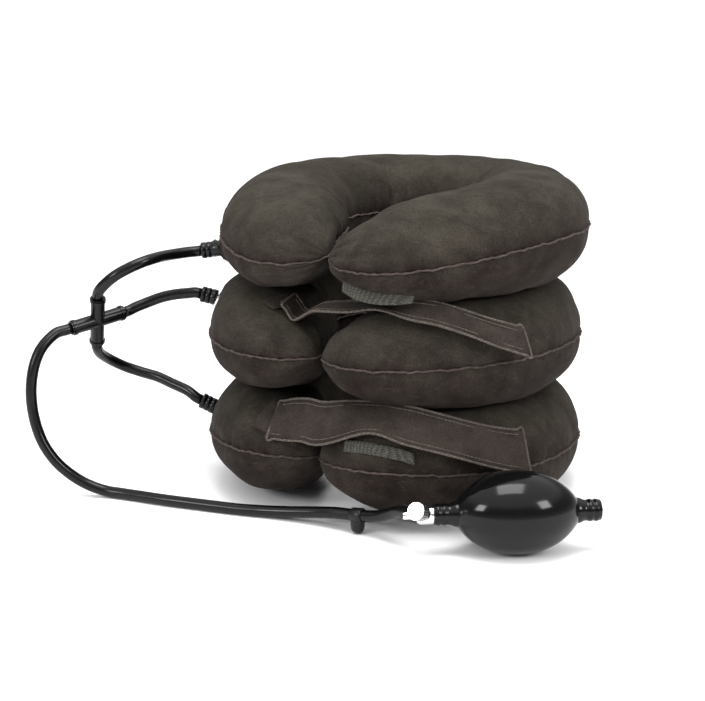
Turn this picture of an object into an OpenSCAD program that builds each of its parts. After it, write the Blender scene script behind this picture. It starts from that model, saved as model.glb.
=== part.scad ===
// Inflatable cervical traction collar: three stacked air chambers, two front straps,
// a four-way hose fitting and a hand bulb with a release valve.
// Origin: centre of the neck opening, on the plane that the collar rests on. The front gap faces -Y.

/* [Collar] */
// Height of one inflated chamber
chamber_h = 70.4; // [64:0.2:76]
// Thickness of the glued joint between two chambers
join_t = 0.6; // [0.4:0.1:1.2]
// Radius of the inner centre of the chamber's rounded section
inner_core_r = 79.5; // [76:0.5:86]
// Radius of the outer centre of the chamber's rounded section
outer_core_r = 90.5; // [87:0.5:98]
// Half of the angle that the front gap takes out of each ring
gap_angle = 27; // [27:0.5:32]
// Thickness of the velour cover
cover_t = 1.2; // [0.8:0.1:1.6]
// Thickness of the rubber bladder
bladder_t = 0.5; // [0.4:0.1:0.8]
// How far the sewn seam stands out of the cover
seam_w = 2.6; // [1:0.2:4]

/* [Straps] */
// Thickness of each strap
strap_t = 1.4; // [1:0.1:2]
// Thickness of the hook tape and of the loop patches
tape_t = 0.8; // [0.6:0.1:1]
// Angle from the front at which the straps are sewn on
strap_root = -10; // [-12:1:-8]
// Angle from the front of the straps' free ends
strap_end = 67; // [60:1:70]

/* [Air line] */
// Outer diameter of every hose
hose_d = 7.4; // [6:0.1:8]
// Bore of every hose and fitting
bore_d = 3.4; // [2.4:0.2:3.6]
// Length of the cross fitting from end to end
cross_l = 39; // [36:1:42]

/* [Bulb] */
// Largest diameter of the hand bulb
bulb_d = 50; // [48:1:52]
// Length of the bulb's rounded body
bulb_l = 78; // [72:1:84]
// Wall thickness of the bulb
bulb_t = 2.4; // [1.8:0.2:3]
// Direction of the bulb's axis
bulb_turn = 34; // [28:1:40]

/* [Hidden] */
$fn = 48;

// Chambers
section_r = chamber_h / 2;
pitch = chamber_h + join_t;
seam_z = [section_r, section_r + pitch, section_r + 2 * pitch];
seam_t = 1.4;
air_gap = 0.3;
turn_angle = 360 - 2 * gap_angle;
cover_col = [0.36, 0.31, 0.30];
seam_col = [0.45, 0.39, 0.38];
rubber_col = [0.07, 0.07, 0.07];
chrome_col = [0.85, 0.85, 0.86];

// Ports: direction round the collar, height above the seam, slope of the nipple and its length
port_turn = 207;
port_rise = [10.5, 17, -19];
port_tilt = [27, 14, -8];
nipple_d = 6.4;
nipple_out = 13.9;
sleeve_d = 10.6;
sleeve_l = 8.4;
port_flange_d = 15;

// Straps: the strap lies on the panel between these angles above the seam
strap_low = 26;
strap_high = 69;

// Routes of the hoses' centre lines
cross_at = [-171, -110, 112];
cross_side = [0.448, 0.878, 0.168];
cross_rise = [0.33, -0.339, 0.881];
top_route = [
  [-126.5, -67, 155.5], [-131.5, -76, 155], [-133, -85.5, 155], [-133, -95.5, 155],
  [-136, -105, 153.5], [-142, -112.5, 150], [-149.5, -117.5, 145], [-158, -119, 138]
];
middle_route = [
  [-128.5, -65.5, 127], [-136.5, -69.5, 126], [-144.5, -74, 124], [-151.5, -79, 121],
  [-157.5, -85.5, 118]
];
bottom_route = [
  [-132, -64, 58], [-144, -64.5, 61.5], [-156, -65, 65], [-168, -68.5, 68], [-177, -75.5, 72.5],
  [-181.5, -85.5, 79], [-181, -96, 85.5]
];
main_route = [
  [-185, -137, 106.5], [-188, -147, 99], [-190, -153, 88], [-191, -156, 74], [-190, -157, 60],
  [-187, -157, 47], [-182, -156, 35], [-175, -153, 24], [-167, -148, 15], [-158, -143, 8.5],
  [-147, -138.5, 4.6], [-135, -136, 3.9], [-119, -134.5, 3.9], [-102, -133, 3.9], [-85, -130.5, 3.9],
  [-68, -128, 3.9], [-50, -125, 3.9], [-33, -121.5, 4.5], [-16, -119, 6], [1, -117.5, 8.2],
  [16, -117.5, 10.4], [32, -118, 11.6], [46, -120, 14], [57, -123, 18.5], [66, -127, 22.5]
];

// Bulb and valve, in a frame with +X along the bulb's axis
bulb_at = [130, -101, bulb_d / 2];
neck_d = 13;
neck_l = 10;
neck_bore = 8;
hub_x = -bulb_l / 2 - 14;
screw_turn = 236;
screw_lift = 24;

// One chamber's section, grown outwards by g
module section(g) {
  for (r = [inner_core_r, outer_core_r]) translate([r, 0]) circle(section_r + g, $fn = 64);
  translate([(inner_core_r + outer_core_r) / 2, 0])
    square([outer_core_r - inner_core_r, 2 * (section_r + g)], center = true);
}

// A wall from g_in to g_out, kept between the angles of the half plane side: 1 up, -1 down, 0 both
module wall_section(g_in, g_out, side) {
  intersection() {
    difference() { section(g_out); section(g_in); }
    translate([0, side > 0 ? 0 : -100]) square([200, side == 0 ? 200 : 100]);
  }
}

// Half of the section seen along the radius, for the rounded lobe ends
module end_section(g_in, g_out) {
  w = outer_core_r - inner_core_r;
  intersection() {
    difference() {
      union() {
        for (s = [-1, 1]) translate([0, s * w / 2]) circle(section_r + g_out, $fn = 64);
        square([2 * (section_r + g_out), w], center = true);
      }
      for (s = [-1, 1]) translate([0, s * w / 2]) circle(section_r + g_in, $fn = 64);
      square([2 * (section_r + g_in), w], center = true);
    }
    translate([0, -100]) square([100, 200]);
  }
}

// One rounded lobe end, centred on the radius at the front gap, its round side towards the gap
module lobe_end(g_in, g_out, side) {
  mid_r = (inner_core_r + outer_core_r) / 2;
  sweep = side == 0 ? 180 : 90;
  first = side > 0 ? 90 : 0;
  // The revolve's axis lies along the radius: its +X turns to +Z, and its +Y stays towards the gap
  rotate([0, 0, -90 + gap_angle]) translate([mid_r, 0, 0]) mirror([0, 1, 0])
    rotate([0, 90, 0]) rotate([0, 0, first]) rotate_extrude(angle = sweep, $fn = 64)
      end_section(g_in, g_out);
}

// A whole ring wall at the seam height: two mirrored arcs, each with its lobe end
module ring_wall(g_in, g_out, side) {
  for (m = [0, 1]) mirror([m, 0, 0]) {
    rotate([0, 0, -90 + gap_angle]) rotate_extrude(angle = turn_angle / 2, $fn = 96)
      wall_section(g_in, g_out, side);
    lobe_end(g_in, g_out, side);
  }
}

// Puts its children on the collar's wall at port i, with +Z outwards at the angle tilt above level
module on_wall(i, tilt) {
  reach = outer_core_r + sqrt(section_r * section_r - port_rise[i] * port_rise[i]);
  rotate([0, 0, port_turn]) translate([reach, 0, seam_z[i] + port_rise[i]])
    rotate([0, 90 - tilt, 0]) children();
}

// The same, with +Z along the nipple
module at_port(i) {
  on_wall(i, port_tilt[i]) children();
}

module port_hole(i, d) {
  at_port(i) translate([0, 0, -14]) cylinder(h = 28, d = d);
}

module cover(i, side) {
  color(cover_col) difference() {
    translate([0, 0, seam_z[i]]) ring_wall(-cover_t, 0, side);
    if (side * port_rise[i] > 0) port_hole(i, nipple_d + 1);
  }
}

module bladder(i) {
  g = -cover_t - air_gap;
  color(rubber_col) difference() {
    translate([0, 0, seam_z[i]]) ring_wall(g - bladder_t, g, 0);
    port_hole(i, nipple_d + 1);
  }
}

// The welt sewn round the chamber at half height, outside and inside the ring
module seam_plan(g) {
  for (r = [inner_core_r, outer_core_r])
    rotate(-90 + gap_angle) translate([r, 0]) circle(section_r + g, $fn = 64);
  rotate(-90 + gap_angle) translate([(inner_core_r + outer_core_r) / 2, 0])
    square([outer_core_r - inner_core_r, 2 * (section_r + g)], center = true);
}

module seam(i) {
  r_out = outer_core_r + section_r;
  r_in = inner_core_r - section_r;
  color(seam_col) translate([0, 0, seam_z[i] - seam_t / 2]) {
    rotate([0, 0, -90 + gap_angle]) rotate_extrude(angle = turn_angle, $fn = 96) {
      translate([r_out, 0]) square([seam_w, seam_t]);
      translate([r_in - seam_w / 2, 0]) square([seam_w / 2, seam_t]);
    }
    for (m = [0, 1]) mirror([m, 0, 0]) linear_extrude(seam_t) intersection() {
      difference() { seam_plan(0.7); seam_plan(0); }
      rotate(-90 + gap_angle) translate([0, -100]) square([200, 100]);
    }
  }
}

module join_patch(i) {
  color(rubber_col) translate([0, 0, i * pitch - join_t])
    rotate([0, 0, -90 + gap_angle]) rotate_extrude(angle = turn_angle, $fn = 96)
      translate([inner_core_r, 0]) square([outer_core_r - inner_core_r, join_t]);
}

// Port: a flange flat on the wall and a hollow nipple that leaves it towards its hose
module port(i) {
  color("#1c1c1d") difference() {
    union() {
      on_wall(i, asin(port_rise[i] / section_r)) translate([0, 0, 0.9]) cylinder(h = 1.6, d = port_flange_d);
      at_port(i) translate([0, 0, -6]) cylinder(h = 6 + nipple_out, d = nipple_d);
    }
    at_port(i) translate([0, 0, -8]) cylinder(h = 40, d = bore_d);
  }
}

module sleeve(i) {
  color(rubber_col) at_port(i) translate([0, 0, nipple_out - sleeve_l]) difference() {
    union() {
      cylinder(h = sleeve_l, d = sleeve_d);
      for (k = [0 : 1]) translate([0, 0, 2 + 3 * k]) cylinder(h = 1.2, d = sleeve_d + 0.8);
    }
    translate([0, 0, -1]) cylinder(h = sleeve_l + 2, d = nipple_d);
  }
}

// A band that follows ring i's panel: from height angle a0 to a1, lifted by lift, t thick
module panel_band(i, side, b0, b1, a0, a1, lift, t) {
  translate([0, 0, seam_z[i]]) rotate([0, 0, -90 + b0]) rotate_extrude(angle = b1 - b0, $fn = 96)
    intersection() {
      translate([outer_core_r, 0]) difference() {
        circle(section_r + lift + t, $fn = 64);
        circle(section_r + lift, $fn = 64);
      }
      translate([outer_core_r, 0]) polygon([
        [0, 0], 80 * [cos(a0), side * sin(a0)], 80 * [cos(a1), side * sin(a1)]
      ]);
    }
}

// The strap lies on its tape, and the tape clears the loop patch
strap_lift = 1.3 + tape_t;

module strap_tab(i, side, a0, a1) {
  color("#3a332f") panel_band(i, side, strap_root - 8, strap_root - 0.4, a0, a1, 0.15, 1.6);
}

module strap(i) {
  color("#403833") panel_band(i, 1, strap_root, strap_end, strap_low, strap_high, strap_lift, strap_t);
}

module strap_tape(i) {
  color("#2b2725") panel_band(i, 1, strap_end - 42, strap_end - 3, strap_low + 4, strap_high - 4,
    strap_lift - tape_t, tape_t);
}

module patch(i, side, a0, a1) {
  color("#565048") panel_band(i, side, 13, 33, a0, a1, 0.1, tape_t);
}

// Hose along a route: one ring of sides at each point, square to the route there
function unit(v) = v / norm(v);
function heading(p, i) = unit(p[min(i + 1, len(p) - 1)] - p[max(i - 1, 0)]);
function hose_points(p, r, n, up) = [
  for (i = [0 : len(p) - 1])
    let (t = heading(p, i), a = unit(cross(t, up)), b = cross(a, t))
      for (k = [0 : n - 1]) p[i] + r * (cos(360 * k / n) * a + sin(360 * k / n) * b)
];
function hose_faces(count, n) = concat(
  [[for (k = [0 : n - 1]) k]],
  [for (i = [0 : count - 2], k = [0 : n - 1])
    let (a = i * n + k, b = i * n + (k + 1) % n) [a + n, b + n, b, a]],
  [[for (k = [n - 1 : -1 : 0]) (count - 1) * n + k]]
);

module hose(route) {
  color(rubber_col) polyhedron(
    points = hose_points(route, hose_d / 2, 8, [0.454, -0.891, 0.05]),
    faces = hose_faces(len(route), 8), convexity = 6);
}

// The direction of port i's nipple and the point at its outer end
function port_dir(i) = [
  cos(port_tilt[i]) * cos(port_turn), cos(port_tilt[i]) * sin(port_turn), sin(port_tilt[i])];
function port_end(i) =
  let (reach = outer_core_r + sqrt(section_r * section_r - port_rise[i] * port_rise[i]))
    [reach * cos(port_turn), reach * sin(port_turn), seam_z[i] + port_rise[i]]
      + nipple_out * port_dir(i);
function cross_end(d) = cross_at + (cross_l / 2) * unit(d);

// A hose leaves a fitting's end face square to it, a hair's breadth away from the face
face_gap = 0.06;
function square_ends(p, u, q, v) = [[p + face_gap * u, p + 4 * u], [q + 4 * v, q + face_gap * v]];
function from_port(i, route, d) =
  let (ends = square_ends(port_end(i), port_dir(i), cross_end(d), unit(d)))
    concat(ends[0], route, ends[1]);

// Turns +Z to the direction v
module along(v) {
  rotate([0, acos(v[2] / norm(v)), atan2(v[1], v[0])]) children();
}

// The main hose slides over the valve's nipple, up to its shoulder
valve_end = bulb_at + (hub_x - 7) * [cos(bulb_turn), sin(bulb_turn), 0];

module hose_cross() {
  color(rubber_col) translate(cross_at) difference() {
    for (d = [cross_side, cross_rise]) along(d) {
      cylinder(h = cross_l, d = 9.4, center = true);
      for (s = [-1, 1]) translate([0, 0, s * (cross_l / 2 - 2)]) cylinder(h = 2, d = 10.6, center = true);
    }
    for (d = [cross_side, cross_rise]) along(d) cylinder(h = cross_l + 2, d = bore_d, center = true);
  }
}

// A ring round the main hose with a rounded foot on the table
clip_at = [32, -118, 11.6];
module hose_clip() {
  color(rubber_col) translate(clip_at) {
    rotate([0, 90, -3]) difference() {
      cylinder(h = 8, d = hose_d + 3.2, center = true);
      cylinder(h = 10, d = hose_d + 0.5, center = true);
    }
    translate([0, 0, -clip_at[2]]) cylinder(h = clip_at[2] - hose_d / 2 - 0.8, d = 9);
  }
}

// Puts its children in the bulb's frame
module at_bulb() {
  translate(bulb_at) rotate([0, 0, bulb_turn]) children();
}

// The bulb's outline: radius at a share u of its half length
function bulb_r(u, g) = (bulb_d / 2 + g) * pow(1 - pow(abs(u), 2.6), 0.55);
bulb_steps = 14;
module bulb_section(g) {
  half_l = bulb_l / 2 + g;
  polygon([
    for (k = [-bulb_steps : bulb_steps]) let (u = sin(90 * k / bulb_steps))
      [bulb_r(u, g), u * half_l]
  ]);
}

// Half of the bulb's shell: side 1 is the upper half, -1 the lower half
module bulb_half(side) {
  rotate([0, 90, 0]) rotate([0, 0, side > 0 ? 90 : -90]) rotate_extrude(angle = 180, $fn = 72)
    difference() { bulb_section(0); bulb_section(-bulb_t); }
}

module bulb_lower_wall() {
  color(rubber_col) at_bulb() difference() {
    union() {
      bulb_half(-1);
      for (s = [-1, 1]) rotate([0, 90 * s, 0]) translate([0, 0, bulb_l / 2 - 2]) {
        cylinder(h = neck_l + 2, d = neck_d);
        for (k = [0 : 2]) translate([0, 0, 4 + 3 * k]) cylinder(h = 1.4, d = neck_d + 1);
      }
    }
    rotate([0, 90, 0]) cylinder(h = bulb_l + 2 * neck_l + 4, d = neck_bore, center = true);
  }
}

module bulb_upper_wall() {
  color(rubber_col) at_bulb() difference() {
    bulb_half(1);
    rotate([0, 90, 0]) cylinder(h = bulb_l + 4, d = neck_d + 0.8, center = true);
  }
}

// Puts its children at the valve's hub, with +Z outwards along the thumbscrew
module at_screw() {
  at_bulb() translate([hub_x, 0, 0]) rotate([0, 90 - screw_lift, screw_turn]) children();
}

screw_bore = 3.2;
ball_d = 4.4;
// Body: hose nipple, hub and stem on the bulb's axis, with the screw's housing on the hub's side
module valve_body() {
  nipple_x = -15;
  stem_x = 16;
  color(chrome_col) difference() {
    union() {
      at_bulb() translate([hub_x, 0, 0]) rotate([0, 90, 0]) rotate_extrude() polygon([
        [0, nipple_x], [2.1, nipple_x], [2.4, nipple_x + 1], [2.4, -7], [4.2, -7], [5.5, -5],
        [5.5, 4], [neck_bore / 2, 4], [neck_bore / 2, stem_x], [0, stem_x]
      ]);
      at_screw() cylinder(h = 9, d = 8);
    }
    at_bulb() translate([hub_x, 0, 0]) rotate([0, 90, 0]) rotate_extrude() polygon([
      [0, nipple_x - 1], [1.2, nipple_x - 1], [1.2, 6], [2.7, 6], [2.7, 11.5], [1.2, 11.5],
      [1.2, stem_x + 1], [0, stem_x + 1]
    ]);
    at_screw() cylinder(h = 30, d = screw_bore + 0.1);
    at_screw() translate([0, 0, 7.5]) rotate([90, 0, 0]) cylinder(h = 12, d = 1.2);
  }
}

module outlet_ball() {
  color(chrome_col) at_bulb() translate([hub_x + 9.6, 0, 0]) sphere(d = ball_d);
}

module valve_needle() {
  color("#b9a36a") at_screw() difference() {
    union() {
      translate([0, 0, 3.4]) cylinder(h = 12.6, d = screw_bore - 0.1);
      translate([0, 0, 1.8]) cylinder(h = 1.6, d1 = 0.8, d2 = screw_bore - 0.1);
    }
    translate([0, 0, 6.6]) rotate_extrude() translate([screw_bore / 2 - 0.4, 0]) square([2, 1.2]);
  }
}

module needle_seal() {
  color(rubber_col) at_screw() translate([0, 0, 7.2]) rotate_extrude()
    translate([screw_bore / 2 - 0.225, 0]) circle(0.17, $fn = 24);
}

module thumbscrew() {
  color(chrome_col) at_screw() translate([0, 0, 10.2]) difference() {
    union() {
      cylinder(h = 8, d = 10);
      for (k = [0 : 23]) rotate([0, 0, 15 * k]) translate([5, 0, 1]) cylinder(h = 6, d = 0.6);
    }
    translate([0, 0, -1]) cylinder(h = 6.9, d = screw_bore);
  }
}

module inlet_valve_body() {
  color(chrome_col) at_bulb() translate([bulb_l / 2, 0, 0]) rotate([0, 90, 0]) difference() {
    union() {
      cylinder(h = neck_l, d = neck_bore);
      translate([0, 0, neck_l]) cylinder(h = 1.8, d = 10);
    }
    translate([0, 0, -1]) cylinder(h = 30, d = 2.4);
    translate([0, 0, 2.6]) cylinder(h = 5.4, d = 5.4);
    translate([0, 0, 9.2]) cylinder(h = 5, d = 7);
  }
}

module inlet_ball() {
  color(chrome_col) at_bulb() translate([bulb_l / 2 + 6.1, 0, 0]) sphere(d = ball_d);
}

module inlet_screen() {
  color("#8d8d90") at_bulb() translate([bulb_l / 2 + 9.2, 0, 0]) rotate([0, 90, 0]) difference() {
    cylinder(h = 0.8, d = 7);
    for (k = [0 : 5]) rotate([0, 0, 60 * k]) translate([2.2, 0, -1]) cylinder(h = 3, d = 1.1, $fn = 16);
    translate([0, 0, -1]) cylinder(h = 3, d = 1.1, $fn = 16);
  }
}

cover(0, -1);  // bottom_cover_lower
cover(0, 1);  // bottom_cover_upper
seam(0);  // bottom_seam
bladder(0);  // bottom_bladder
cover(1, -1);  // middle_cover_lower
cover(1, 1);  // middle_cover_upper
seam(1);  // middle_seam
bladder(1);  // middle_bladder
cover(2, -1);  // top_cover_lower
cover(2, 1);  // top_cover_upper
seam(2);  // top_seam
bladder(2);  // top_bladder
join_patch(1);  // lower_join_patch
join_patch(2);  // upper_join_patch
port(0);  // bottom_port
port(1);  // middle_port
port(2);  // top_port
sleeve(0);  // bottom_sleeve
sleeve(1);  // middle_sleeve
sleeve(2);  // top_sleeve
strap_tab(0, 1, strap_low, strap_high);  // lower_strap_tab
strap(0);  // lower_strap
strap_tape(0);  // lower_strap_tape
patch(0, 1, 18, 34);  // lower_patch
strap_tab(1, 1, strap_low + 20, strap_high);  // upper_strap_tab
strap(1);  // upper_strap
strap_tape(1);  // upper_strap_tape
patch(2, -1, 44, 66);  // upper_patch
hose(from_port(0, bottom_route, -cross_rise));  // bottom_hose
hose(from_port(1, middle_route, cross_side));  // middle_hose
hose(from_port(2, top_route, cross_rise));  // top_hose
union() {  // main_hose
  hose(concat([cross_end(-cross_side) - face_gap * cross_side, cross_end(-cross_side) - 4 * cross_side],
    main_route, [valve_end]));
}
hose_cross();
hose_clip();
bulb_lower_wall();
bulb_upper_wall();
valve_body();
outlet_ball();
valve_needle();
needle_seal();
thumbscrew();
inlet_valve_body();
inlet_ball();
inlet_screen();
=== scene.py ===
import math

import bpy
import numpy as np
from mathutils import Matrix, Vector


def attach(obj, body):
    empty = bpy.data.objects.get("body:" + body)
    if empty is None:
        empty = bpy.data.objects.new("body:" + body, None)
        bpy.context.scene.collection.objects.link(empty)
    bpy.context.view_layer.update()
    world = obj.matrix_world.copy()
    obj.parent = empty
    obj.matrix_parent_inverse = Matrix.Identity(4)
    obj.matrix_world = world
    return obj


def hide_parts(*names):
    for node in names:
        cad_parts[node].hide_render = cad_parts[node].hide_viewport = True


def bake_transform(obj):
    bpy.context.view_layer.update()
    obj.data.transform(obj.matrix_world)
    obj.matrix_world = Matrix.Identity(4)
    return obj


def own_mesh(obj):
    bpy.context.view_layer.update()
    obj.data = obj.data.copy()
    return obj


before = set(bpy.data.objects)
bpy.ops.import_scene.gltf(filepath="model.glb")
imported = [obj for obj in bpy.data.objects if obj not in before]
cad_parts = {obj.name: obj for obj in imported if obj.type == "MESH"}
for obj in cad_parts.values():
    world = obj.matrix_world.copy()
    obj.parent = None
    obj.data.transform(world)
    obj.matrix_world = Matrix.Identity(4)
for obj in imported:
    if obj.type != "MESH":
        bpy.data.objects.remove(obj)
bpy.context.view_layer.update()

MM = 0.001


# ---------------------------------------------------------------- camera
def make_camera():
    turn, lift = math.radians(27), math.radians(12.5)
    back = Vector((math.sin(turn) * math.cos(lift), -math.cos(turn) * math.cos(lift), math.sin(lift)))
    at = Vector((0, 0, 0.098)) + back
    aim = Vector((-0.0274, -0.0170, 0.0885))
    data = bpy.data.cameras.new("camera")
    data.sensor_width = 36
    data.lens = 75
    camera = bpy.data.objects.new("camera", data)
    bpy.context.collection.objects.link(camera)
    camera.location = at
    camera.rotation_euler = (aim - at).to_track_quat("-Z", "Y").to_euler()
    bpy.context.scene.camera = camera


# ---------------------------------------------------------------- mesh helpers
def make_mesh(name, points, faces, smooth=True):
    mesh = bpy.data.meshes.new(name)
    mesh.from_pydata([tuple(p) for p in points], [], faces)
    mesh.validate()
    mesh.update()
    if smooth:
        mesh.polygons.foreach_set("use_smooth", [True] * len(mesh.polygons))
    piece = bpy.data.objects.new(name, mesh)
    bpy.context.collection.objects.link(piece)
    return piece


def grid_faces(rows, columns, wrap_rows=False, wrap_columns=False):
    faces = []
    for r in range(rows if wrap_rows else rows - 1):
        for c in range(columns if wrap_columns else columns - 1):
            r2, c2 = (r + 1) % rows, (c + 1) % columns
            faces.append((r * columns + c, r * columns + c2, r2 * columns + c2, r2 * columns + c))
    return faces


def unit(v):
    v = np.asarray(v, float)
    return v / np.maximum(np.linalg.norm(v, axis=-1, keepdims=True), 1e-12)


def distance_along(line):
    """Distance from the start of the line to each of its points."""
    return np.concatenate([[0], np.cumsum(np.linalg.norm(np.diff(line, axis=0), axis=1))])


def curve_through(points, steps):
    """A Catmull-Rom curve through the points, in any number of dimensions, steps to each span."""
    p = np.asarray(points, float)
    p = np.vstack([2 * p[0] - p[1], p, 2 * p[-1] - p[-2]])
    out = []
    for i in range(1, len(p) - 2):
        a, b, c, d = p[i - 1], p[i], p[i + 1], p[i + 2]
        for t in np.linspace(0, 1, steps, endpoint=False):
            out.append(0.5 * (2 * b + (c - a) * t + (2 * a - 5 * b + 4 * c - d) * t ** 2
                              + (3 * b - a - 3 * c + d) * t ** 3))
    out.append(p[-2])
    return np.array(out)


def smooth_line(points, step):
    """A curve through the points with even steps along it, and its length."""
    out = curve_through(points, 16)
    along = distance_along(out)
    count = max(int(round(along[-1] / step)), 3)
    even = np.linspace(0, along[-1], count + 1)
    return np.stack([np.interp(even, along, out[:, k]) for k in range(3)], axis=1), along[-1]


def frames_along(line):
    """Two directions square to the line at each point, turning as little as they can."""
    tangent = unit(np.gradient(line, axis=0))
    side = np.zeros_like(line)
    side[0] = unit(np.cross(tangent[0], [0.1, 0.2, 1.0]))
    for i in range(1, len(line)):
        s = side[i - 1] - tangent[i] * np.dot(side[i - 1], tangent[i])
        side[i] = unit(s)
    return side, np.cross(tangent, side)


def end_caps(rows, sides):
    """The two faces that close a grid of rows rings."""
    return [tuple(range(sides))[::-1], tuple((rows - 1) * sides + k for k in range(sides))]


def sweep(name, line, radius, sides):
    """A round tube along the line, closed at both ends. radius is one number or one for each point."""
    side, up = frames_along(line)
    radius = np.broadcast_to(np.asarray(radius, float), len(line))
    angle = np.linspace(0, 2 * np.pi, sides, endpoint=False)
    ring = (np.cos(angle)[None, :, None] * side[:, None] + np.sin(angle)[None, :, None] * up[:, None])
    points = line[:, None] + radius[:, None, None] * ring
    faces = grid_faces(len(line), sides, wrap_columns=True) + end_caps(len(line), sides)
    return make_mesh(name, points.reshape(-1, 3), faces)


def lathe(name, outline, at, axis, steps=64):
    """A solid of revolution: outline is (distance along the axis, radius) in mm, from end to end."""
    axis = unit(axis)
    side = unit(np.cross(axis, [0.3, 0.1, 1.0] if abs(axis[2]) < 0.9 else [1.0, 0, 0]))
    up = np.cross(axis, side)
    angle = np.linspace(0, 2 * np.pi, steps, endpoint=False)
    turn = np.cos(angle)[:, None] * side + np.sin(angle)[:, None] * up
    points = [np.asarray(at) + MM * (z * axis + r * turn) for z, r in outline]
    faces = grid_faces(len(outline), steps, wrap_columns=True) + end_caps(len(outline), steps)
    return make_mesh(name, np.vstack(points), faces)


def waves(s, period, seed, count=5, spread=0.45):
    """A smooth irregular ripple of about the given period, between -1 and 1."""
    r = np.random.default_rng(seed)
    total = 0
    for _ in range(count):
        length = period * (1 + spread * r.uniform(-1, 1))
        total = total + np.sin(2 * np.pi * s / length + r.uniform(0, 2 * np.pi))
    return total / count ** 0.5 / 1.4


# ---------------------------------------------------------------- materials
def new_material(name):
    material = bpy.data.materials.new(name)
    material.use_nodes = True
    nodes = material.node_tree.nodes
    return material, nodes, material.node_tree.links, nodes["Principled BSDF"]


def noise_node(nodes, links, vector, scale, detail=3.0, roughness=0.55, distortion=0.0):
    node = nodes.new("ShaderNodeTexNoise")
    node.inputs["Scale"].default_value = scale
    node.inputs["Detail"].default_value = detail
    node.inputs["Roughness"].default_value = roughness
    node.inputs["Distortion"].default_value = distortion
    links.new(vector, node.inputs["Vector"])
    return node.outputs["Fac"]


def ramp(nodes, links, value, low, high, a=0.0, b=1.0):
    node = nodes.new("ShaderNodeMapRange")
    node.inputs["From Min"].default_value = low
    node.inputs["From Max"].default_value = high
    node.inputs["To Min"].default_value = a
    node.inputs["To Max"].default_value = b
    links.new(value, node.inputs["Value"])
    return node.outputs["Result"]


def mix_colour(nodes, links, share, a, b):
    """share is a socket; a and b are sockets or colours."""
    node = nodes.new("ShaderNodeMix")
    node.data_type = "RGBA"
    links.new(share, node.inputs[0])
    for value, key in ((a, 6), (b, 7)):
        if isinstance(value, bpy.types.NodeSocket):
            links.new(value, node.inputs[key])
        else:
            node.inputs[key].default_value = (*value, 1)
    return node.outputs[2]


def bump_chain(nodes, links, heights):
    """heights is a list of (socket, strength, distance in metres)."""
    normal = None
    for socket, strength, distance in heights:
        node = nodes.new("ShaderNodeBump")
        node.inputs["Strength"].default_value = strength
        node.inputs["Distance"].default_value = distance
        links.new(socket, node.inputs["Height"])
        if normal is not None:
            links.new(normal, node.inputs["Normal"])
        normal = node.outputs["Normal"]
    return normal


def velour(name, top_colour_painted_light, side_colour_painted_shade, light_colour, sheen=0.045):
    """Short brushed pile: painted light and shade by facing (the lighter colour on faces that look up, the
    darker on the sides), cloudy nap, streaks where it was stroked, and a fine fibre grain.
    """
    material, nodes, links, shader = new_material(name)
    where = nodes.new("ShaderNodeTexCoord").outputs["Object"]
    normal_z = nodes.new("ShaderNodeSeparateXYZ")
    links.new(nodes.new("ShaderNodeNewGeometry").outputs["Normal"], normal_z.inputs[0])
    # painted light and shade: the share of facing up picks the lighter top colour over the darker side colour
    upward = ramp(nodes, links, normal_z.outputs["Z"], -0.25, 0.75)
    base = mix_colour(nodes, links, upward, side_colour_painted_shade, top_colour_painted_light)
    cloud = noise_node(nodes, links, where, 26, 5, 0.62, 0.9)
    base = mix_colour(nodes, links, ramp(nodes, links, cloud, 0.36, 0.7, 0, 0.34), base, light_colour)
    stretch = nodes.new("ShaderNodeMapping")
    stretch.inputs["Scale"].default_value = (1.0, 3.2, 5.0)
    stretch.inputs["Rotation"].default_value = (0.3, 0.2, 0.6)
    links.new(where, stretch.inputs["Vector"])
    streak = noise_node(nodes, links, stretch.outputs["Vector"], 55, 4, 0.7, 1.6)
    base = mix_colour(nodes, links, ramp(nodes, links, streak, 0.56, 0.74, 0, 0.42), base, light_colour)
    dark = ramp(nodes, links, noise_node(nodes, links, where, 70, 4, 0.6, 0.4), 0.30, 0.60, 0.72, 1.06)
    grain = noise_node(nodes, links, where, 1100, 3, 0.7)
    tone = nodes.new("ShaderNodeMath")
    tone.operation = "MULTIPLY"
    links.new(dark, tone.inputs[0])
    links.new(ramp(nodes, links, grain, 0.3, 0.7, 0.62, 1.40), tone.inputs[1])
    shade = nodes.new("ShaderNodeVectorMath")
    shade.operation = "SCALE"
    links.new(base, shade.inputs[0])
    links.new(tone.outputs[0], shade.inputs["Scale"])
    links.new(shade.outputs[0], shader.inputs["Base Color"])
    links.new(ramp(nodes, links, cloud, 0.3, 0.7, 0.98, 0.80), shader.inputs["Roughness"])
    shader.inputs["Specular IOR Level"].default_value = 0.05
    shader.inputs["Sheen Weight"].default_value = sheen
    shader.inputs["Sheen Roughness"].default_value = 0.42
    shader.inputs["Sheen Tint"].default_value = (0.62, 0.56, 0.52, 1)
    nap = noise_node(nodes, links, where, 240, 4, 0.65, 0.6)
    normal = bump_chain(nodes, links, [(nap, 0.35, 0.0010), (grain, 0.55, 0.0004)])
    links.new(normal, shader.inputs["Normal"])
    return material


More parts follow.
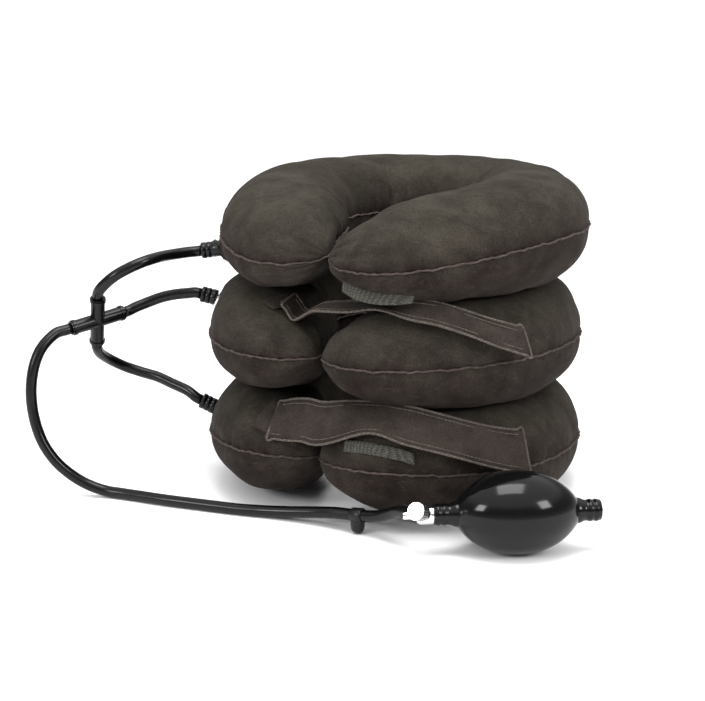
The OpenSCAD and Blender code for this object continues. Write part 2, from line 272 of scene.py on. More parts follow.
def woven(name, colour, light, ribs, sheen, depth):
    """Tape or binding with a visible diagonal weave and loose fibres."""
    material, nodes, links, shader = new_material(name)
    where = nodes.new("ShaderNodeTexCoord").outputs["Object"]
    turned = nodes.new("ShaderNodeMapping")
    turned.inputs["Rotation"].default_value = (0.0, 0.5, 0.78)
    links.new(where, turned.inputs["Vector"])
    pattern = []
    for direction in ("X", "Z"):
        wave = nodes.new("ShaderNodeTexWave")
        wave.bands_direction = direction
        wave.inputs["Scale"].default_value = ribs / 6.0
        wave.inputs["Distortion"].default_value = 2.0
        wave.inputs["Detail"].default_value = 2
        wave.inputs["Detail Scale"].default_value = 3
        links.new(turned.outputs["Vector"], wave.inputs["Vector"])
        pattern.append(wave.outputs["Fac"])
    cross = nodes.new("ShaderNodeMath")
    cross.operation = "MULTIPLY"
    links.new(pattern[0], cross.inputs[0])
    links.new(pattern[1], cross.inputs[1])
    fuzz = noise_node(nodes, links, where, 1400, 3, 0.7)
    share = nodes.new("ShaderNodeMath")
    share.operation = "MULTIPLY_ADD"
    links.new(cross.outputs[0], share.inputs[0])
    share.inputs[1].default_value = 0.6
    links.new(ramp(nodes, links, fuzz, 0.35, 0.7, 0, 0.4), share.inputs[2])
    links.new(mix_colour(nodes, links, share.outputs[0], colour, light), shader.inputs["Base Color"])
    shader.inputs["Roughness"].default_value = 0.9
    shader.inputs["Specular IOR Level"].default_value = 0.08
    shader.inputs["Sheen Weight"].default_value = sheen
    normal = bump_chain(nodes, links, [(cross.outputs[0], 0.8, depth), (fuzz, 0.7, 0.0005)])
    links.new(normal, shader.inputs["Normal"])
    return material


def rubber(name, colour, low, high, grain, scuff=0.5):
    """Black rubber or moulded plastic: smudges in the gloss, a fine skin and light dust."""
    material, nodes, links, shader = new_material(name)
    where = nodes.new("ShaderNodeTexCoord").outputs["Object"]
    smudge = noise_node(nodes, links, where, 60, 4, 0.6, 0.6)
    skin = noise_node(nodes, links, where, 1500, 3, 0.6)
    dust = ramp(nodes, links, noise_node(nodes, links, where, 420, 5, 0.75), 0.62, 0.8, 0.0, 0.16 * scuff)
    base = mix_colour(nodes, links, dust, colour, tuple(min(1, 0.05 + 2.2 * c) for c in colour))
    links.new(base, shader.inputs["Base Color"])
    links.new(ramp(nodes, links, smudge, 0.3, 0.7, low, high), shader.inputs["Roughness"])
    shader.inputs["Specular IOR Level"].default_value = 0.22
    links.new(bump_chain(nodes, links, [(smudge, 0.05, 0.0006), (skin, 0.25, grain)]), shader.inputs["Normal"])
    return material


def metal(name, colour, low, high, brushed=False):
    """Plated or plain metal: smudged gloss, and fine brush marks where it is brushed."""
    material, nodes, links, shader = new_material(name)
    where = nodes.new("ShaderNodeTexCoord").outputs["Object"]
    smudge = noise_node(nodes, links, where, 260, 4, 0.65)
    fine = noise_node(nodes, links, where, 2600, 2, 0.6)
    tint = mix_colour(nodes, links, ramp(nodes, links, smudge, 0.35, 0.7, 0, 0.25), colour,
                      tuple(0.72 * c for c in colour))
    links.new(tint, shader.inputs["Base Color"])
    shader.inputs["Metallic"].default_value = 1.0
    links.new(ramp(nodes, links, smudge, 0.3, 0.75, low, high), shader.inputs["Roughness"])
    links.new(bump_chain(nodes, links, [(fine, 0.3 if brushed else 0.08, 0.00004)]), shader.inputs["Normal"])
    return material


# The collar's velour: painted light on faces that look up, painted shade on its sides, and paler where the pile
# is stroked
VELOUR_TOP_PAINTED_LIGHT = (0.0235, 0.0205, 0.0160)
VELOUR_SIDE_PAINTED_SHADE = (0.0145, 0.0098, 0.0088)
LIGHT = (0.060, 0.052, 0.041)
MAT = {
    "velour": velour("velour", VELOUR_TOP_PAINTED_LIGHT, VELOUR_SIDE_PAINTED_SHADE, LIGHT),
    "welt": woven("welt", (0.040, 0.030, 0.027), (0.085, 0.065, 0.060), 700, 0.04, 0.0004),
    # the strap's velour: its first colour is painted lighter for faces that look up, its second painted darker
    # for its sides
    "strap": velour(
        "strap_velour", (0.030, 0.024, 0.0205), (0.026, 0.0185, 0.017), (0.042, 0.034, 0.029), 0.04),
    "binding": woven("binding", (0.045, 0.037, 0.032), (0.14, 0.118, 0.10), 1200, 0.06, 0.0003),
    "hook": woven("hook_tape", (0.020, 0.018, 0.017), (0.06, 0.056, 0.05), 800, 0.1, 0.0006),
    "loop": woven("loop_tape", (0.018, 0.018, 0.015), (0.13, 0.128, 0.108), 1500, 0.04, 0.0007),
    "bulb": rubber("bulb_rubber", (0.0025, 0.0025, 0.0027), 0.10, 0.17, 0.00002, 0.25),
    "hose": rubber("hose_rubber", (0.0025, 0.0025, 0.0028), 0.18, 0.30, 0.00004, 0.4),
    "plastic": rubber("black_plastic", (0.007, 0.007, 0.0075), 0.30, 0.42, 0.00005, 0.4),
    "bladder": rubber("bladder_rubber", (0.02, 0.02, 0.02), 0.55, 0.7, 0.0001),
    "chrome": metal("chrome", (0.86, 0.86, 0.87), 0.05, 0.16),
    "brass": metal("brass", (0.78, 0.62, 0.34), 0.18, 0.34, True),
    "steel": metal("steel_screen", (0.55, 0.55, 0.57), 0.24, 0.42, True),
}


def paint(piece, material):
    if piece.material_slots:
        for entry in piece.material_slots:
            entry.material = MAT[material]
    else:
        piece.data.materials.append(MAT[material])
    return piece


# ---------------------------------------------------------------- the frame's driving sizes, in mm
HEIGHT = 70.4  # one inflated ring
JOIN_GAP = 0.6  # between two rings
PITCH = HEIGHT + JOIN_GAP
SECTION = HEIGHT / 2
CORE = 90.5  # outer centre of the ring's section, from the collar's axis
RING_NAMES = ("bottom", "middle", "top")
PORT_TURN = math.radians(207)
PORT_RISE = (10.5, 17, -19)
PORT_TILT = (27, 14, -8)
PORT_REACH = 13.9
BULB_AT = np.array([130, -101, 25])
BULB_TURN = math.radians(34)
BULB_AXIS = np.array([math.cos(BULB_TURN), math.sin(BULB_TURN), 0])
HUB = BULB_AT - 53 * BULB_AXIS
CROSS_AT = np.array([-171, -110, 112])
CROSS_SIDE = unit([0.448, 0.878, 0.168])
CROSS_RISE = unit([0.33, -0.339, 0.881])
CROSS_HALF = 19.5
HOSE_R = 3.7
FACE_GAP = 0.06  # between a hose's end and the fitting's face
STRAIGHT = 4  # how far a hose runs straight out of a fitting


def port_place(i):
    """Where port i's nipple leaves the wall, and its direction."""
    reach = CORE + math.sqrt(SECTION ** 2 - PORT_RISE[i] ** 2)
    z = SECTION + i * PITCH + PORT_RISE[i]
    flat = np.array([math.cos(PORT_TURN), math.sin(PORT_TURN), 0])
    tilt = math.radians(PORT_TILT[i])
    return reach * flat + [0, 0, z], math.cos(tilt) * flat + [0, 0, math.sin(tilt)]


# ---------------------------------------------------------------- hoses
TOP_ROUTE = [
    (-126.5, -67, 155.5), (-131.5, -76, 155), (-133, -85.5, 155), (-133, -95.5, 155),
    (-136, -105, 153.5), (-142, -112.5, 150), (-149.5, -117.5, 145), (-158, -119, 138)]
MIDDLE_ROUTE = [
    (-128.5, -65.5, 127), (-136.5, -69.5, 126), (-144.5, -74, 124), (-151.5, -79, 121), (-157.5, -85.5, 118)]
BOTTOM_ROUTE = [
    (-132, -64, 58), (-144, -64.5, 61.5), (-156, -65, 65), (-168, -68.5, 68), (-177, -75.5, 72.5),
    (-181.5, -85.5, 79), (-181, -96, 85.5)]
MAIN_ROUTE = [
    (-185, -137, 106.5), (-188, -147, 99), (-190, -153, 88), (-191, -156, 74), (-190, -157, 60),
    (-187, -157, 47), (-182, -156, 35), (-175, -153, 24), (-167, -148, 15), (-158, -143, 8.5),
    (-147, -138.5, 4.6), (-135, -136, 3.9), (-119, -134.5, 3.9), (-102, -133, 3.9), (-85, -130.5, 3.9),
    (-68, -128, 3.9), (-50, -125, 3.9), (-33, -121.5, 4.5), (-16, -119, 6), (1, -117.5, 8.2),
    (16, -117.5, 10.4), (32, -118, 11.6), (46, -120, 14), (57, -123, 18.5), (66, -127, 22.5)]
CLIP_POINT = 21  # where the clip sits on it


def cross_end(direction):
    """The face of the hose cross's arm in this direction."""
    return CROSS_AT + CROSS_HALF * direction


def square_ends(start, leaving, end, arriving):
    """A hose's first and last points: square to both fittings' faces, just clear of them."""
    return ([start + FACE_GAP * leaving, start + STRAIGHT * leaving],
            [end + STRAIGHT * arriving, end + FACE_GAP * arriving])


def make_hose(name, node, points, exit_end):
    """A hose along the points in mm. exit_end only turns round a list of the hose's points, which nothing uses.
    """
    line, length = smooth_line(points, 2.2)
    piece = sweep(name, line * MM, HOSE_R * MM, 24)
    paint(piece, "hose")
    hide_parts(node)
    path = [tuple(p) for p in line * MM]
    if exit_end:
        path = path[::-1]
    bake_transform(piece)


def make_hoses(clip):
    routes = ((0, "bottom", BOTTOM_ROUTE, -CROSS_RISE), (1, "middle", MIDDLE_ROUTE, CROSS_SIDE),
              (2, "top", TOP_ROUTE, CROSS_RISE))
    for i, name, route, arm in routes:
        at, direction = port_place(i)
        start = at + PORT_REACH * direction
        first, last = square_ends(start, direction, cross_end(arm), arm)
        make_hose(f"{name}_hose_skin", f"{name}_hose", [*first, *route, *last], False)
    face = cross_end(-CROSS_SIDE)
    valve_end = HUB - 7 * BULB_AXIS
    points = [face - FACE_GAP * CROSS_SIDE, face - STRAIGHT * CROSS_SIDE, *MAIN_ROUTE, valve_end]
    make_hose("main_hose_skin", "main_hose", points, True)


make_camera()


# ---------------------------------------------------------------- chambers
ROWS = 420
SIDES = 104
PLAN_X = 86
PLAN_FRONT = 90
PLAN_BACK = 86
TIP_LENGTH = 54
TIP_OUT = 12
TIP_GAP = 0.9
PLAN_SHIFT = (-2.0, -2.2, 4.0)
PLAN_TRIM = (-1.6, -2.4, -5.5)
TIP_TURN = (-1.0, 0.3, -1.3)
FRONT_REACH = 128  # from the collar's axis to the very front
CONTACT_LIFT = (11, 7, -3, -25)  # at the front, for the plane under each ring and the collar's top
SEAM_LIFT = (7, -2, -17)
LEVEL_BODIES = ("base", "lower_link", "upper_link", "top_panel")  # what rides each contact plane
BACK_RISE = 1.0  # of the collar's top, at the back


def frontness(y, power=2):
    """0 from the collar's middle backwards, rising to 1 at its very front."""
    return np.clip(-y / FRONT_REACH, 0, 1) ** power


def contact_z(k, y):
    """Height of the plane under ring k; k = 3 is the top of the collar."""
    if k < 3:
        return k * PITCH + CONTACT_LIFT[k] * frontness(y)
    return k * PITCH - JOIN_GAP + CONTACT_LIFT[k] * frontness(y, 1.3) + BACK_RISE * np.clip(y / 90, 0, 1)


def seam_z(i, y):
    """Height of ring i's seam."""
    return SECTION + i * PITCH + SEAM_LIFT[i] * frontness(y)


def soft_limit(value, limit, soft):
    """value, held under limit with a rounded change over."""
    over = value - limit + soft
    return np.where(over > 0, limit - soft + soft * (1 - np.exp(-over / soft)), value)


def plan_line(i, t):
    """Points and outward directions of ring i's middle line for t from one tip to the other."""
    gap = math.radians(TIP_GAP)
    spread = 0.62 * t + 0.38 * (0.5 - 0.5 * np.cos(np.pi * t))
    angle = gap + (2 * math.pi - 2 * gap) * spread - math.pi / 2 + math.radians(TIP_TURN[i])
    c, s = np.cos(angle), np.sin(angle)
    trim = PLAN_TRIM[i]
    line = np.stack([(PLAN_X + trim) * c, (np.where(s < 0, PLAN_FRONT, PLAN_BACK) + 0.4 * trim) * s], axis=1)
    line += PLAN_SHIFT[i] * np.array([0.891, 0.454])
    step = np.gradient(line, axis=0)
    size = np.linalg.norm(step, axis=1)
    along = np.concatenate([[0], np.cumsum((size[1:] + size[:-1]) / 2)])
    tangent = step / size[:, None]
    outward = np.stack([tangent[:, 1], -tangent[:, 0]], axis=1)
    return line, outward, along


def ring_grid(i, rows, sides, wrinkled):
    """Points of ring i's skin: rows from tip to tip, sides round the section from the outer seam up."""
    t = np.linspace(0, 1, rows)
    line, outward, along = plan_line(i, t)
    total = along[-1]
    to_tip = np.minimum(along, total - along)
    k = np.clip(1 - to_tip / TIP_LENGTH, 0, 1)
    wide = (1 - k ** 1.9) ** 0.58
    tall = (1 - k ** 2.0) ** 0.55
    line = line + outward * (TIP_OUT * k ** 1.5)[:, None]
    theta = np.linspace(0, 2 * np.pi, sides, endpoint=False)
    cosine, sine = np.cos(theta), np.sin(theta)
    across = np.sign(cosine) * np.abs(cosine) ** 0.93
    half_wide = 40 + 2.5 * np.clip(-line[:, 1] / 90, 0, 1)
    reach = (half_wide * wide)[:, None] * across
    x = line[:, 0:1] + outward[:, 0:1] * reach
    y = line[:, 1:2] + outward[:, 1:2] * reach
    middle = seam_z(i, y)
    over = contact_z(i + 1, y) - middle
    under = middle - contact_z(i, y)
    swell = 1.07
    high = np.where(sine > 0, over, under) * np.abs(sine) ** 0.93
    limit_high = np.where(sine > 0, over, under) - 0.4
    if i < 2:
        high = np.where(sine > 0, soft_limit(high * swell, limit_high, 2.2), high)
    if i > 0:
        high = np.where(sine < 0, soft_limit(high * swell, limit_high, 2.2), high)
    if i == 0:
        high = np.where(sine < 0, soft_limit(high * 1.03, limit_high + 0.4, 1.5), high)
    z = middle + np.sign(sine) * high * tall[:, None]
    grid = np.stack([x, y, z], axis=2)
    if wrinkled:
        grid = wrinkle(i, grid, along, to_tip, theta)
    return grid, along


def grid_normals(grid):
    """Directions out of the ring's skin."""
    down = np.gradient(grid, axis=0)
    turn = np.roll(grid, -1, axis=1) - np.roll(grid, 1, axis=1)
    normal = np.cross(turn, down)
    outward = grid - grid.mean(axis=1, keepdims=True)
    sign = np.sign((normal * outward).sum(axis=2, keepdims=True))
    return unit(normal * np.where(sign == 0, 1, sign))


def wrinkle(i, grid, along, to_tip, theta):
    """Puckers at both seams, gathers at the tips and inner wall, and a slow unevenness."""
    normal = grid_normals(grid)
    s = along[:, None]
    off_outer = np.minimum(theta, 2 * np.pi - theta)[None, :] * 36
    off_inner = np.abs(theta - np.pi)[None, :] * 36
    seed = 100 * (i + 1)
    tip = np.exp(-to_tip / 46)[:, None]
    strength = 0.55 + 0.45 * waves(s, 95, seed + 1) + 1.0 * tip
    strength = np.clip(strength, 0.15, 2.2)
    move = np.zeros(grid.shape[:2])
    for off, offset_seed, gain in ((off_outer, 2, 1.0), (off_inner, 3, 1.3)):
        side = np.where(theta < np.pi, 1.0, -1.0)[None, :]
        lean = s + 0.25 * off * waves(s, 60, seed + 7) * side
        crease = np.clip(waves(lean + 3.1 * side, 10.5, seed + offset_seed), 0, 1.3) ** 1.6
        fine = waves(lean, 6.2, seed + offset_seed + 20)
        move -= gain * strength * crease * 1.05 * np.exp(-(off / 8.5) ** 1.1)
        move -= gain * strength * (0.28 + 0.24 * fine) * np.exp(-off / 4)
        long_fold = np.clip(waves(lean, 31, seed + offset_seed + 40, 5, 0.6) - 0.15, 0, 1) ** 1.4
        move -= gain * strength * long_fold * 0.75 * np.exp(-(off / 22) ** 2)
        move -= 0.9 * np.exp(-off / 3.2)
    inner = np.clip(-np.cos(theta), 0, 1)[None, :] ** 1.5
    move -= inner * 1.5 * np.clip(waves(s + 4 * np.sin(3 * theta)[None, :], 19, seed + 60), 0, 1.2)
    move += 0.6 * waves(s + 22 * np.sin(theta)[None, :], 74, seed + 70) * np.abs(np.sin(theta))[None, :]
    move += 0.45 * waves(s - 30 * np.cos(theta)[None, :], 38, seed + 71)
    fan = waves(theta[None, :] * 30, 11, seed + 80)
    move -= 1.5 * np.exp(-to_tip / 17)[:, None] * np.clip(fan, 0, 1.2) * np.clip(to_tip / 8, 0, 1)[:, None]
    fade = np.clip(to_tip / 3, 0, 1)[:, None]
    return grid + normal * (move * fade)[:, :, None]


def ring_place(i, beta, theta):
    """A point on ring i's smooth skin at beta degrees from the front and theta degrees up the section."""
    grid = SMOOTH[i]
    centre = grid.mean(axis=1)
    angle = np.degrees(np.arctan2(centre[:, 0], -centre[:, 1]))
    row = int(np.argmin(np.abs(angle - beta)))
    column = (theta / (360 / SMOOTH_SIDES)) % SMOOTH_SIDES
    low = int(column) % SMOOTH_SIDES
    share = column - int(column)
    point = grid[row, low] * (1 - share) + grid[row, (low + 1) % SMOOTH_SIDES] * share
    up = unit(grid[row, (low + 2) % SMOOTH_SIDES] - grid[row, low - 2])
    around = unit(grid[min(row + 1, SMOOTH_ROWS - 1), low] - grid[max(row - 1, 0), low])
    outward = unit(np.cross(around, up))
    if np.dot(outward, point - centre[row]) < 0:
        outward = -outward
    return point, up, outward


# The rings without wrinkles, for the pieces that lie on them or inside them
SMOOTH_ROWS = 260
SMOOTH_SIDES = 120
SMOOTH = [ring_grid(i, SMOOTH_ROWS, SMOOTH_SIDES, False)[0] for i in range(3)]


def pull_to_ports(i, grid):
    """The cover lies against the port's flange and dips round it."""
    at, direction = port_place(i)
    offset = grid - at
    height = offset @ direction
    flat = np.linalg.norm(offset - height[..., None] * direction, axis=2)
    near = (np.abs(height) < 25) & (flat < 26)
    target = np.where(flat < 7.4, 0.7, 0.7 - 0.12 * (flat - 7.4))
    share = np.where(near, np.exp(-np.clip(flat - 7.4, 0, None) / 7), 0)
    return grid + ((target - height) * share)[..., None] * direction


def ride_and_flatten(piece, body):
    """The piece rides the body, with its own copy of its mesh."""
    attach(piece, body)
    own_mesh(piece)


def make_chamber(i):
    """Ring i's upper and lower cover panels, and the welt between them."""
    grid, _ = ring_grid(i, ROWS, SIDES, True)
    grid = pull_to_ports(i, grid)
    half = SIDES // 2
    for name, columns, level in (
            ("upper", np.arange(0, half + 1), i + 1), ("lower", np.arange(half, SIDES + 1) % SIDES, i)):
        points = grid[:, columns].reshape(-1, 3) * MM
        faces = [f[::-1] for f in grid_faces(ROWS, len(columns))]
        piece = make_mesh(f"{RING_NAMES[i]}_{name}_velour", points, faces)
        paint(piece, "velour")
        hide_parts(f"{RING_NAMES[i]}_cover_{name}")
        ride_and_flatten(piece, LEVEL_BODIES[level])
    make_welt(i, grid)


def make_welt(i, grid):
    """The sewn edge: a narrow puckered roll all round both seams, meeting at the tips."""
    outer = grid[:, 0]
    inner = grid[::-1, SIDES // 2]
    loop = np.vstack([outer, inner[1:-1]])
    line = np.vstack([loop, loop[:1]])
    along = distance_along(line)
    count = int(along[-1] / 1.5)
    even = np.linspace(0, along[-1], count, endpoint=False)
    line = np.stack([np.interp(even, along, line[:, k]) for k in range(3)], axis=1)
    tangent = unit(np.roll(line, -2, axis=0) - np.roll(line, 2, axis=0))
    out = unit(np.cross(tangent, [0, 0, 1.0]))
    seed = 500 + 10 * i
    line = (np.roll(line, 3, axis=0) + np.roll(line, -3, axis=0) + line) / 3
    line = line + out * (0.7 + 0.3 * waves(even, 8, seed))[:, None]
    rise = 0.42 * waves(even, 15, seed + 1, 5, 0.6) + 0.16 * waves(even, 5, seed + 2)
    line = line + np.array([0, 0, 1.0]) * rise[:, None]
    wide = 1.15 + 0.35 * waves(even, 6.2, seed + 3)
    tall = 0.6 + 0.16 * waves(even, 7.1, seed + 4)
    sides = 10
    angle = np.linspace(0, 2 * np.pi, sides, endpoint=False)
    upward = np.cross(out, tangent)
    points = (line[:, None] + wide[:, None, None] * np.cos(angle)[None, :, None] * out[:, None]
              + tall[:, None, None] * np.sin(angle)[None, :, None] * upward[:, None])
    piece = make_mesh(f"{RING_NAMES[i]}_welt", points.reshape(-1, 3) * MM,
                      grid_faces(count, sides, wrap_rows=True, wrap_columns=True))
    paint(piece, "welt")
    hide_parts(f"{RING_NAMES[i]}_seam")
    ride_and_flatten(piece, LEVEL_BODIES[i])


def make_bladder(i):
    """The rubber bladder: the cover's smooth shape drawn in, closed at both tips."""
    grid = SMOOTH[i][10:-10:3, ::3]
    centre = grid.mean(axis=1, keepdims=True)
    inner = centre + (grid - centre) * 0.86
    rows, sides = inner.shape[:2]
    faces = grid_faces(rows, sides, wrap_columns=True) + end_caps(rows, sides)
    piece = make_mesh(f"{RING_NAMES[i]}_bladder_skin", inner.reshape(-1, 3) * MM, faces)
    paint(piece, "bladder")
    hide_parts(f"{RING_NAMES[i]}_bladder")
    ride_and_flatten(piece, LEVEL_BODIES[i])


for ring in range(3):
    make_chamber(ring)
    make_bladder(ring)


# ---------------------------------------------------------------- straps
def ribbon(name, middle, across, outward, width, thick, rows_across=14, ripple=0.0, seed=1):
    """A flat band: middle line, direction across and outward at each point, in mm."""
    count = len(middle)
    v = np.linspace(-1, 1, rows_across)
    front, back = [], []
    s = np.arange(count) * 1.0
    for q in v:
        lift = ripple * waves(s + 9 * q, 26, seed) * (0.4 + 0.6 * abs(q))
        edge = thick / 2 * math.sqrt(max(1 - abs(q) ** 8, 0)) + 0.05
        base = middle + across * (width * q / 2) + outward * lift[:, None]
        front.append(base + outward * edge)
        back.append(base - outward * edge)
    front, back = np.stack(front, axis=1), np.stack(back, axis=1)
    loop = np.concatenate([front, back[:, ::-1]], axis=1)
    sides = loop.shape[1]
    faces = grid_faces(count, sides, wrap_columns=True) + end_caps(count, sides)
    return make_mesh(name, loop.reshape(-1, 3) * MM, faces)


def band_lines(stations, step=2.0):
    """Middle line, across and outward directions from (point, across, outward) stations."""
    out = curve_through([np.concatenate([p, 40 * a, 40 * o]) for p, a, o in stations], 24)
    along = distance_along(out[:, :3])
    even = np.linspace(0, along[-1], int(along[-1] / step) + 1)
    out = np.stack([np.interp(even, along, out[:, k]) for k in range(9)], axis=1)
    return out[:, :3], unit(out[:, 3:6]), unit(out[:, 6:]), along[-1]


def on_ring(i, beta, theta, lift):
    """A strap station that lies on ring i, lift above its smooth skin."""
    point, up, outward = ring_place(i, beta, theta)
    return point + lift * outward, up, outward


def trim_line(name, line, radius, material, seed):
    """A thin, slightly uneven roll along the line, for a binding or a row of stitches."""
    wobble = radius * (1 + 0.12 * waves(np.arange(len(line)) * 1.5, 5, seed))
    return paint(sweep(name, line * MM, wobble * MM, 8), material)


def make_strap(name, i, body, stations, width):
    """The strap sewn on ring i: its band, bound edge, two rows of stitches and hook tape."""
    middle, across, outward, length = band_lines(stations)
    band = ribbon(f"{name}_band", middle, across, outward, width, 1.7, ripple=0.7, seed=31 + i)
    paint(band, "strap")
    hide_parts(name)
    parts = [band]
    edge = width / 2 - 0.5
    loop = np.vstack([
        middle + across * edge + outward * 0.55, (middle - across * edge + outward * 0.55)[::-1]])
    loop = np.vstack([loop, loop[:1]])
    line, _ = smooth_line(loop[::2], 1.5)
    parts.append(trim_line(f"{name}_binding", line, 0.75, "binding", 61 + i))
    inset = width / 2 - 3.6
    for letter, sign in (("a", -1), ("b", 1)):
        stitch = middle[2:-2] + sign * inset * across[2:-2] + outward[2:-2] * 0.9
        line, _ = smooth_line(stitch[::2], 1.5)
        parts.append(trim_line(f"{name}_stitch_{letter}", line, 0.3, "binding", 71))
    for part in parts:
        ride_and_flatten(part, body)
    taped = slice(len(middle) // 2, -2)
    tape = ribbon(f"{name}_hooks", middle[taped] - 1.25 * outward[taped], across[taped], outward[taped],
                  width - 6.0, 0.7, 8)
    paint(tape, "hook")
    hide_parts(f"{name}_tape")
    ride_and_flatten(tape, body)


def gap_station(point, lean):
    """A strap station in the open front gap: lean is its tilt back from upright, in degrees."""
    a = math.radians(lean)
    across = np.array([0, math.sin(a), math.cos(a)])
    return np.array(point, float), across, np.array([0, -math.cos(a), math.sin(a)])


def shelf_station(beta, reach, z, lean):
    """A strap station that stands off the panel at beta degrees from the front, leaning back."""
    b, a = math.radians(beta), math.radians(lean)
    radial = np.array([math.sin(b), -math.cos(b), 0])
    up = np.array([0, 0, 1.0])
    across = math.cos(a) * up - math.sin(a) * radial
    return reach * radial + z * up, across, math.sin(a) * up + math.cos(a) * radial


def make_straps():
    lower = [
        gap_station((-31, -115, 63.6), 46), gap_station((-25, -114.5, 64), 40),
        gap_station((-17, -114, 65), 26), gap_station((-6, -115, 66.3), 24),
        gap_station((8, -117.5, 66.8), 26), on_ring(0, 18, 56, 4.4),
        shelf_station(29, 122.5, 70, 44), shelf_station(40, 125.5, 64, 40), shelf_station(50, 128.5, 57, 34),
        shelf_station(58, 131, 52, 27), shelf_station(63.5, 132.5, 49.5, 22)]
    make_strap("lower_strap", 0, "lower_strap_flap", lower, 28)
    upper = [
        gap_station((-29, -98, 138.5), 84), gap_station((-24, -99, 133.5), 82),
        gap_station((-19, -100, 128.5), 80), gap_station((-12, -101, 131.5), 80),
        gap_station((-4, -102, 135.5), 82), gap_station((8, -103, 137), 80),
        gap_station((21, -103, 138.5), 76), on_ring(1, 20, 72, 4.0),
        shelf_station(30, 117, 140.0, 58), shelf_station(37, 120, 138.0, 50), shelf_station(45, 125, 133, 42),
        shelf_station(52, 130, 127, 34), shelf_station(59, 133.5, 121.5, 26),
        shelf_station(62, 134.5, 119.5, 22)]
    make_strap("upper_strap", 1, "upper_strap_flap", upper, 19)


def make_small_band(name, node, ring, body, stations, width, thick, material, ripple):
    """A short flat piece sewn on a ring: a strap's root or a loop patch."""
    middle, across, outward, _ = band_lines(stations, 1.5)
    piece = ribbon(name, middle, across, outward, width, thick, 10, ripple, 91 + ring)
    paint(piece, material)
    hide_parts(node)
    ride_and_flatten(piece, body)


def make_tabs():
    make_small_band("lower_tab_patch", "lower_strap_tab", 0, "lower_link",
                    [on_ring(0, -20, 50, 0.5), on_ring(0, -17, 51, 0.5), on_ring(0, -13, 52, 0.5)],
                    24, 1.0, "strap", 0.2)
    make_small_band("upper_tab_patch", "upper_strap_tab", 1, "upper_link",
                    [on_ring(1, -23, 76, 0.9), on_ring(1, -20, 77, 0.9), on_ring(1, -17, 78, 0.9)],
                    22, 1.2, "strap", 0.3)


def make_loop_patches():
    """Both patches' ends stand off the cloth a little."""
    lower = [on_ring(0, 11, 28, 1.4), on_ring(0, 17, 25, 0.6), on_ring(0, 21, 22, 0.6), on_ring(0, 26, 18, 0.6),
             on_ring(0, 30, 14, 1.4)]
    make_small_band("lower_loop_patch", "lower_patch", 0, "lower_link", lower,
                    7.5, 0.9, "loop", 0.5)
    upper = [gap_station((20, -114.5, 154), 14), gap_station((31, -116, 150), 26),
             gap_station((43, -114, 148), 36), gap_station((54, -109.5, 148), 38),
             gap_station((62, -103.5, 148.5), 36)]
    make_small_band("upper_loop_patch", "upper_patch", 2, "upper_link", upper,
                    8.5, 1.0, "loop", 0.8)


make_straps()
make_tabs()
make_loop_patches()


# ---------------------------------------------------------------- bulb
BULB_RADIUS = 25
BULB_HALF = 39  # from the bulb's middle to either end of its round part


def bulb_radius(u):
    """Radius of the bulb for u from -1 at one end to 1 at the other."""
    return BULB_RADIUS * (1 - np.abs(u) ** 2.15) ** 0.66


def make_bulb():
    """Both halves of the bulb's wall, with necks on the lower one."""
    steps, turns = 72, 96
    u = np.sin(np.linspace(-np.pi / 2, np.pi / 2, steps))
    u = np.clip(u, -0.985, 0.985)
    side = np.cross(BULB_AXIS, [0, 0, 1.0])
    for name, first, body in (("upper", 0, "bulb_top"), ("lower", np.pi, "base")):
        angle = np.linspace(first, first + np.pi, turns // 2 + 1)
        radius = bulb_radius(u)
        ring = np.cos(angle)[None, :, None] * side + np.sin(angle)[None, :, None] * np.array([0, 0, 1.0])
        points = BULB_AT + BULB_HALF * u[:, None, None] * BULB_AXIS + radius[:, None, None] * ring
        piece = make_mesh(f"bulb_{name}_skin", points.reshape(-1, 3) * MM, grid_faces(steps, turns // 2 + 1))
        paint(piece, "bulb")
        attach(piece, body)
        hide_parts(f"bulb_{name}_wall")
        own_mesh(piece)
    for letter, sign in (("a", -1), ("b", 1)):
        outline = [(33, 8.0), (36, 7.9), (38, 7.4), (39.4, 6.7), (40.6, 6.3)]
        for k in range(2):
            start = 42.5 + 3.6 * k
            outline += [(start, 6.3), (start + 0.4, 6.7), (start + 2.2, 6.7), (start + 2.6, 6.3)]
        outline += [(49.7, 6.3), (50.2, 5.9), (50.2, 4.2), (48.0, 4.1)]
        neck = lathe(f"bulb_neck_{letter}", outline, BULB_AT * MM, sign * BULB_AXIS)
        paint(neck, "bulb")
        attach(neck, "base")


make_bulb()


# ---------------------------------------------------------------- sleeves, clip and hoses
def make_sleeves():
    """Ribbed rubber sleeves that hold the hoses on the ports."""
    for i, name in enumerate(RING_NAMES):
        at, direction = port_place(i)
        first = (2.8, 2.8, -3.0)[i]
        outline = [(first, 3.6), (first, 5.0), (first + 0.7, 5.4)]
        for start in (6.6, 10.0):
            outline += [(start, 5.4), (start + 0.3, 5.1), (start + 0.8, 5.1), (start + 1.1, 5.45)]
        outline += [(13.2, 5.5), (13.9, 5.1), (14.0, 3.8)]
        piece = lathe(f"{name}_sleeve_skin", outline, at * MM, direction, 48)
        paint(piece, "hose")
        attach(piece, f"{name}_port_fitting")
        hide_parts(f"{name}_sleeve")


make_sleeves()


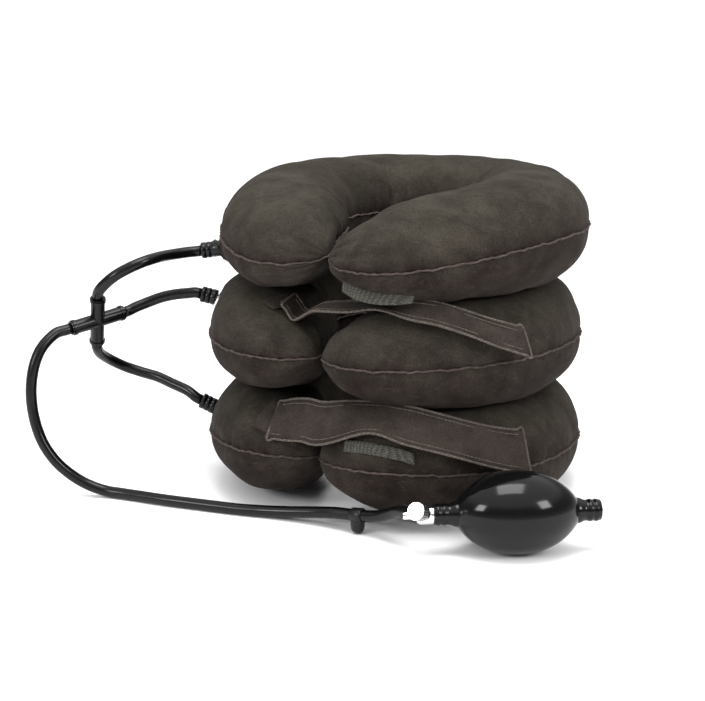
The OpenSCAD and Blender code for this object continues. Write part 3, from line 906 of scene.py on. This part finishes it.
def make_clip():
    """A snug ring on the hose with a short rounded foot under it."""
    at = np.array(MAIN_ROUTE[CLIP_POINT])
    along = unit([30, -2.5, 3.6])
    outline = [(-4, 3.8), (-4, 4.3), (-3.4, 4.75), (3.4, 4.75), (4, 4.3), (4, 3.8)]
    ring = lathe("hose_clip_ring", outline, at * MM, along, 48)
    outline = [(0, 4.5), (-4, 4.5), (-7, 4.4), (-8.8, 4.1), (-10.2, 3.3), (-11.1, 2.1), (-11.4, 0.6)]
    foot = lathe("hose_clip_foot", outline, at * MM, (0, 0, 1), 40)
    for piece in (ring, foot):
        paint(piece, "plastic")
        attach(piece, "base")
        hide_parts("hose_clip")
    return ring


make_hoses(make_clip())

# ---------------------------------------------------------------- pieces kept from the frame
KEPT = {
    "lower_join_patch": "bladder", "upper_join_patch": "bladder",
    "bottom_port": "plastic", "middle_port": "chrome", "top_port": "plastic",
    "hose_cross": "hose",
    "valve_body": "chrome", "valve_needle": "brass", "needle_seal": "hose", "thumbscrew": "chrome",
    "outlet_ball": "steel", "inlet_ball": "steel", "inlet_valve_body": "chrome", "inlet_screen": "steel",
}
for node_name, material_name in KEPT.items():
    paint(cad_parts[node_name], material_name)


# ---------------------------------------------------------------- floor, light
def make_studio():
    half = 60  # metres, so that the floor's edge lies at the horizon
    corners = [(-half, -half, 0), (half, -half, 0), (half, half, 0), (-half, half, 0)]
    floor = make_mesh("floor", corners, [(0, 1, 2, 3)], False)
    material, nodes, links, shader = new_material("floor")
    where = nodes.new("ShaderNodeTexCoord").outputs["Object"]
    tone = noise_node(nodes, links, where, 3, 3)
    base = mix_colour(nodes, links, tone, (0.93, 0.93, 0.935), (0.95, 0.95, 0.955))
    links.new(base, shader.inputs["Base Color"])
    shader.inputs["Roughness"].default_value = 0.6
    shader.inputs["Specular IOR Level"].default_value = 0.2
    floor.data.materials.append(material)
    world = bpy.data.worlds.new("studio")
    bpy.context.scene.world = world
    world.use_nodes = True
    nodes, links = world.node_tree.nodes, world.node_tree.links
    height = nodes.new("ShaderNodeSeparateXYZ")
    links.new(nodes.new("ShaderNodeTexCoord").outputs["Generated"], height.inputs[0])
    shade = nodes.new("ShaderNodeValToRGB")
    shade.color_ramp.elements[0].position = 0.0
    shade.color_ramp.elements[0].color = (0.62, 0.62, 0.62, 1)
    shade.color_ramp.elements[1].position = 1.0
    shade.color_ramp.elements[1].color = (1, 1, 1, 1)
    for place, value in ((0.10, 0.34), (0.22, 0.16), (0.42, 0.22), (0.62, 0.80)):
        shade.color_ramp.elements.new(place).color = (value, value, value, 1)
    links.new(height.outputs["Z"], shade.inputs[0])
    links.new(shade.outputs[0], nodes["Background"].inputs[0])
    nodes["Background"].inputs[1].default_value = 1.75
    for name, place, size, power in (
            ("left", (-0.45, -1.18, 0.60), 0.36, 7), ("right", (1.30, -0.30, 0.75), 0.42, 9),
            ("top", (0.1, -0.2, 1.4), 0.75, 16)):
        data = bpy.data.lights.new(name, "AREA")
        data.energy = power
        data.size = size
        light = bpy.data.objects.new(name, data)
        bpy.context.collection.objects.link(light)
        light.location = place
        light.rotation_euler = (Vector((0, 0, 0.08)) - Vector(place)).to_track_quat("-Z", "Y").to_euler()
    bpy.context.scene.view_settings.view_transform = "Standard"


make_studio()
